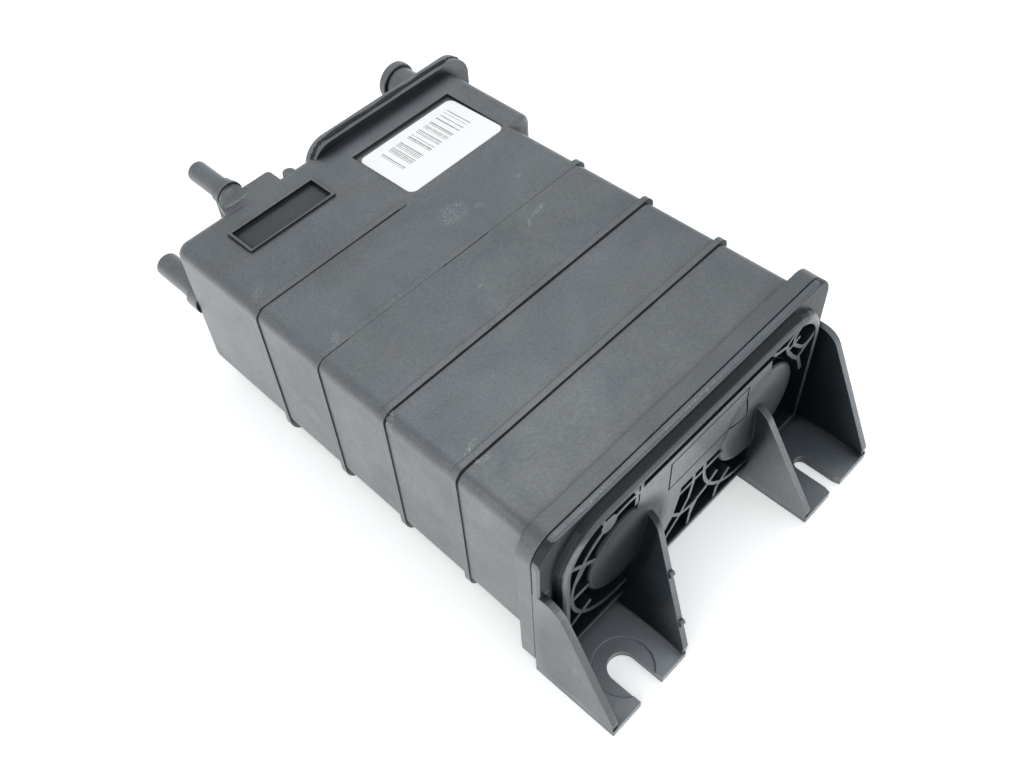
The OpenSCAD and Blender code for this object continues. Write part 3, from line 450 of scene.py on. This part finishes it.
def mouldedMaterial(name, s):
    f = finishSet
    mat, tree, shader = newMaterial(name)
    place = objectPlace(tree)
    grain = placeGroup(tree, mouldedGrain, Vector=place, Tone=s["tone"], Gloss=s["gloss"])
    soft = setInputs(addNode(tree, "ShaderNodeBevel", samples=f["bevelSamples"]), Radius=s["soften"]).outputs["Normal"]
    flat = addNode(tree, "ShaderNodeNewGeometry").outputs["True Normal"]
    turn = addNode(tree, "ShaderNodeVectorMath", operation="DOT_PRODUCT")  # rounded normal against flat normal
    feed(turn.inputs[0], soft)
    feed(turn.inputs[1], flat)
    close = shelterMask(tree, "close")
    paintedShadeFactor = paintedShadeMask(tree, place, flat, close, s)
    # painted highlight and wear: open convex edges turn paler
    edge = mathNode(tree, "MULTIPLY", mapRange(tree, turn.outputs["Value"], f["edgeSpan"], (0.0, s["edge"])), close)
    # painted shade darkens the colour, down to the darkest share
    toned = mixColor(tree, 1.0, grain["Color"], mapRange(tree, paintedShadeFactor, unit, (f["darkest"], 1.0)), "MULTIPLY")
    for pool in s.get("dustAndLightHaze", []):  # pale dust film that is also painted light, on the feet and around the cover
        toned = mixColor(tree, roundMask(tree, place, pool, pool[6], 0.0), toned, f["dustAndLightHazeTone"])
    # rubbed marks and dust, plus painted highlight on edges and on the highlight strokes
    rubAndHighlight = placeGroup(tree, rubAndHighlightMarks, Vector=place, Color=toned, Edge=edge, Marks=strokeMask(tree, place, s["marks"]))
    rough = mathNode(tree, "ADD", grain["Roughness"], mathNode(tree, "MULTIPLY", rubAndHighlight["Mask"], f["rubAndHighlightRough"]))
    # painted shade also thins the coat
    coat = mathNode(tree, "MULTIPLY", mathNode(tree, "MULTIPLY", paintedShadeFactor, s["shine"]), grain["Shine"])
    film = noiseNode(tree, place, *f["film"])
    setInputs(shader, Base_Color=rubAndHighlight["Color"], Roughness=rough, Coat_Weight=coat,
              Normal=bumpNormal(tree, grain["Height"], f["grainBump"], f["bumpDepth"], Normal=soft),
              Coat_Normal=bumpNormal(tree, film, f["filmBump"], f["bumpDepth"], Normal=soft),
              IOR=f["ior"], Coat_IOR=f["coatIor"], Coat_Roughness=f["coatRough"])
    layOut(tree)
    return mat


def dress(node, mat):
    obj = nodes[node]
    obj.data.materials.clear()
    obj.data.materials.append(mat)


for nodeName, s in plasticSet.items():
    dress(nodeName, mouldedMaterial(nodeName + "Nylon", s))
print("moulded pieces dressed")

# label: coated white paper with a row of plain bars that means nothing

labelSet = {
    "paper": (0.93, 0.922, 0.912, 1), "ink": (0.1, 0.1, 0.105, 1),
    "barX": (0.0215, 0.0655), "barY": (0.1788, 0.1942), "barPitch": 0.00092, "barGaps": 0.36, "barWidth": (0.25, 0.75),
    "wear": (600.0, 3.0, 0.7), "wearSpan": (0.35, 0.5), "inkLeft": (0.45, 0.9),
    "cloud": (45.0, 4.0), "cloudTone": (0.97, 1.0), "mottle": (300.0, 3.0), "rough": (0.36, 0.5),
    "fibre": (900.0, 2.0), "bump": 0.1, "bumpDepth": 0.0002,
}


def labelMaterial(s):
    mat, tree, shader = newMaterial("labelPaper")
    place = objectPlace(tree)
    axes = splitAxes(tree, place)
    along = mathNode(tree, "DIVIDE", axes["X"], s["barPitch"])
    chance = addNode(tree, "ShaderNodeTexWhiteNoise", noise_dimensions="1D")
    chance = setInputs(chance, W=mathNode(tree, "FLOOR", along)).outputs["Value"]
    width = mapRange(tree, chance, (s["barGaps"], 1.0), s["barWidth"])
    bars = mathNode(tree, "MULTIPLY", mathNode(tree, "GREATER_THAN", chance, s["barGaps"]),
                    mathNode(tree, "LESS_THAN", mathNode(tree, "FRACT", along), width))
    field = mathNode(tree, "MULTIPLY", stepBetween(tree, axes["X"], *s["barX"]),
                     stepBetween(tree, axes["Y"], *s["barY"]))
    wear = mapRange(tree, noiseNode(tree, place, *s["wear"]), s["wearSpan"], s["inkLeft"])
    ink = joinMasks(tree, "MULTIPLY", [bars, field, wear])
    cloud = mapRange(tree, noiseNode(tree, place, *s["cloud"]), midNoise, s["cloudTone"])
    paper = mixColor(tree, 1.0, s["paper"], cloud, "MULTIPLY")
    setInputs(shader, Base_Color=mixColor(tree, ink, paper, s["ink"]),
              Roughness=mapRange(tree, noiseNode(tree, place, *s["mottle"]), midNoise, s["rough"]),
              Normal=bumpNormal(tree, noiseNode(tree, place, *s["fibre"]), s["bump"], s["bumpDepth"]))
    layOut(tree)
    return mat


dress("label", labelMaterial(labelSet))
print("label dressed")

# inner pieces: carbon, fleece, plates, springs and foam

innerSet = {
    "carbonPellets": {
        "nodes": ["carbon_bed_main", "carbon_bed_second"], "low": (0.012, 0.012, 0.012, 1),
        "high": (0.06, 0.06, 0.06, 1), "scale": 420.0, "rough": 0.7, "bump": 0.9, "depth": 0.002, "cells": True},
    "filterFleece": {
        "nodes": ["fleece_main_lid", "fleece_main_port", "fleece_second_lid", "fleece_second_air"],
        "low": (0.55, 0.54, 0.5, 1), "high": (0.8, 0.79, 0.75, 1), "scale": 900.0, "rough": 0.95,
        "bump": 0.6, "depth": 0.0006},
    "greyNylon": {
        "nodes": ["pressure_plate_main", "pressure_plate_second", "air_grid"], "low": (0.05, 0.052, 0.055, 1),
        "high": (0.08, 0.082, 0.086, 1), "scale": 260.0, "rough": 0.45, "bump": 0.15, "depth": 0.0003},
    "springWire": {
        "nodes": ["spring_main", "spring_second"], "low": (0.42, 0.42, 0.43, 1), "high": (0.6, 0.6, 0.61, 1),
        "scale": 700.0, "rough": 0.32, "bump": 0.1, "depth": 0.0002, "metal": 1.0},
    "openFoam": {
        "nodes": ["dust_foam"], "low": (0.01, 0.01, 0.011, 1), "high": (0.045, 0.045, 0.048, 1),
        "scale": 800.0, "rough": 0.95, "bump": 0.9, "depth": 0.001, "cells": True},
}
innerFinish = {
    "cellSpan": (0.0, 0.7), "fibre": (4.0, 0.65, 0.8), "cloud": (60.0, 3.0), "cloudTone": (0.7, 1.2),
    "smoother": 0.06, "rougher": 0.05,
}


def innerMaterial(name, s):
    f = innerFinish
    mat, tree, shader = newMaterial(name)
    place = objectPlace(tree)
    if s.get("cells"):
        cells = setInputs(addNode(tree, "ShaderNodeTexVoronoi"), Vector=place, Scale=s["scale"])
        height = mapRange(tree, cells.outputs["Distance"], f["cellSpan"], (1.0, 0.0))
    else:
        height = noiseNode(tree, place, s["scale"], *f["fibre"])
    cloud = noiseNode(tree, place, *f["cloud"])
    amount = mathNode(tree, "MULTIPLY", height, mapRange(tree, cloud, midNoise, f["cloudTone"]))
    rough = mapRange(tree, cloud, midNoise, (s["rough"] - f["smoother"], s["rough"] + f["rougher"]))
    setInputs(shader, Base_Color=mixColor(tree, amount, s["low"], s["high"]), Roughness=rough,
              Normal=bumpNormal(tree, height, s["bump"], s["depth"]), Metallic=s.get("metal", 0.0))
    layOut(tree)
    return mat


for matName, s in innerSet.items():
    mat = innerMaterial(matName, s)
    for nodeName in s["nodes"]:
        dress(nodeName, mat)
print("inner pieces dressed")

# weld bead pressed out between the housing and the air cover

beadSet = {
    "lowX": -0.0014, "highX": 0.0969, "lowZ": 0.0056, "highZ": 0.0892, "weldY": 0.2172, "corner": 0.012,
    "cornerSteps": 8, "cuts": 9, "radius": 0.0011, "ringSteps": 2, "rough": 0.0022, "grain": 0.0028, "middle": 0.5,
    "plastic": {"tone": (0.012, 0.013, 0.015, 1), "gloss": 0.5, "edge": 0.0, "soften": 0.0002, "shine": 0.08,
                # the stroke along the bead top is painted highlight
                "marks": [(0.04, 0.2172, 0.0893, 0, 0.02, 0.001, 0.25)]},
}


def addWeldBead(s):
    middle = ((s["lowX"] + s["highX"]) / 2, s["weldY"], (s["lowZ"] + s["highZ"]) / 2)
    bpy.ops.object.select_all(action="DESELECT")
    bpy.ops.mesh.primitive_plane_add(size=1.0, location=middle, rotation=(math.radians(90), 0, 0))
    bead = bpy.context.object
    bead.name = "weldBead"
    bead.scale = (s["highX"] - s["lowX"], s["highZ"] - s["lowZ"], 1.0)
    bpy.ops.object.transform_apply(location=True, rotation=True, scale=True)
    bpy.ops.object.mode_set(mode="EDIT")  # outline of the flange, with round corners
    bpy.ops.mesh.select_mode(type="VERT")
    bpy.ops.mesh.select_all(action="SELECT")
    bpy.ops.mesh.bevel(offset=s["corner"], offset_type="OFFSET", segments=s["cornerSteps"], affect="VERTICES")
    bpy.ops.mesh.select_all(action="SELECT")
    bpy.ops.mesh.delete(type="ONLY_FACE")
    bpy.ops.mesh.select_all(action="SELECT")
    bpy.ops.mesh.subdivide(number_cuts=s["cuts"])
    bpy.ops.object.mode_set(mode="OBJECT")
    bpy.ops.object.convert(target="CURVE")
    bead = bpy.context.object
    bead.data.bevel_depth = s["radius"]
    bead.data.bevel_resolution = s["ringSteps"]
    bpy.ops.object.convert(target="MESH")
    bead = bpy.context.object
    lumps = bpy.data.textures.new("beadLumps", "CLOUDS")
    lumps.noise_scale = s["grain"]
    push = bead.modifiers.new("lumps", "DISPLACE")
    push.texture = lumps
    push.texture_coords = "GLOBAL"
    push.strength = s["rough"]
    push.mid_level = s["middle"]
    bpy.ops.object.modifier_apply(modifier="lumps")
    bpy.ops.object.shade_smooth()
    bead.data.materials.clear()
    bead.data.materials.append(mouldedMaterial("beadNylon", s["plastic"]))
    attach(bead, "root")


addWeldBead(beadSet)
print("weld bead laid")
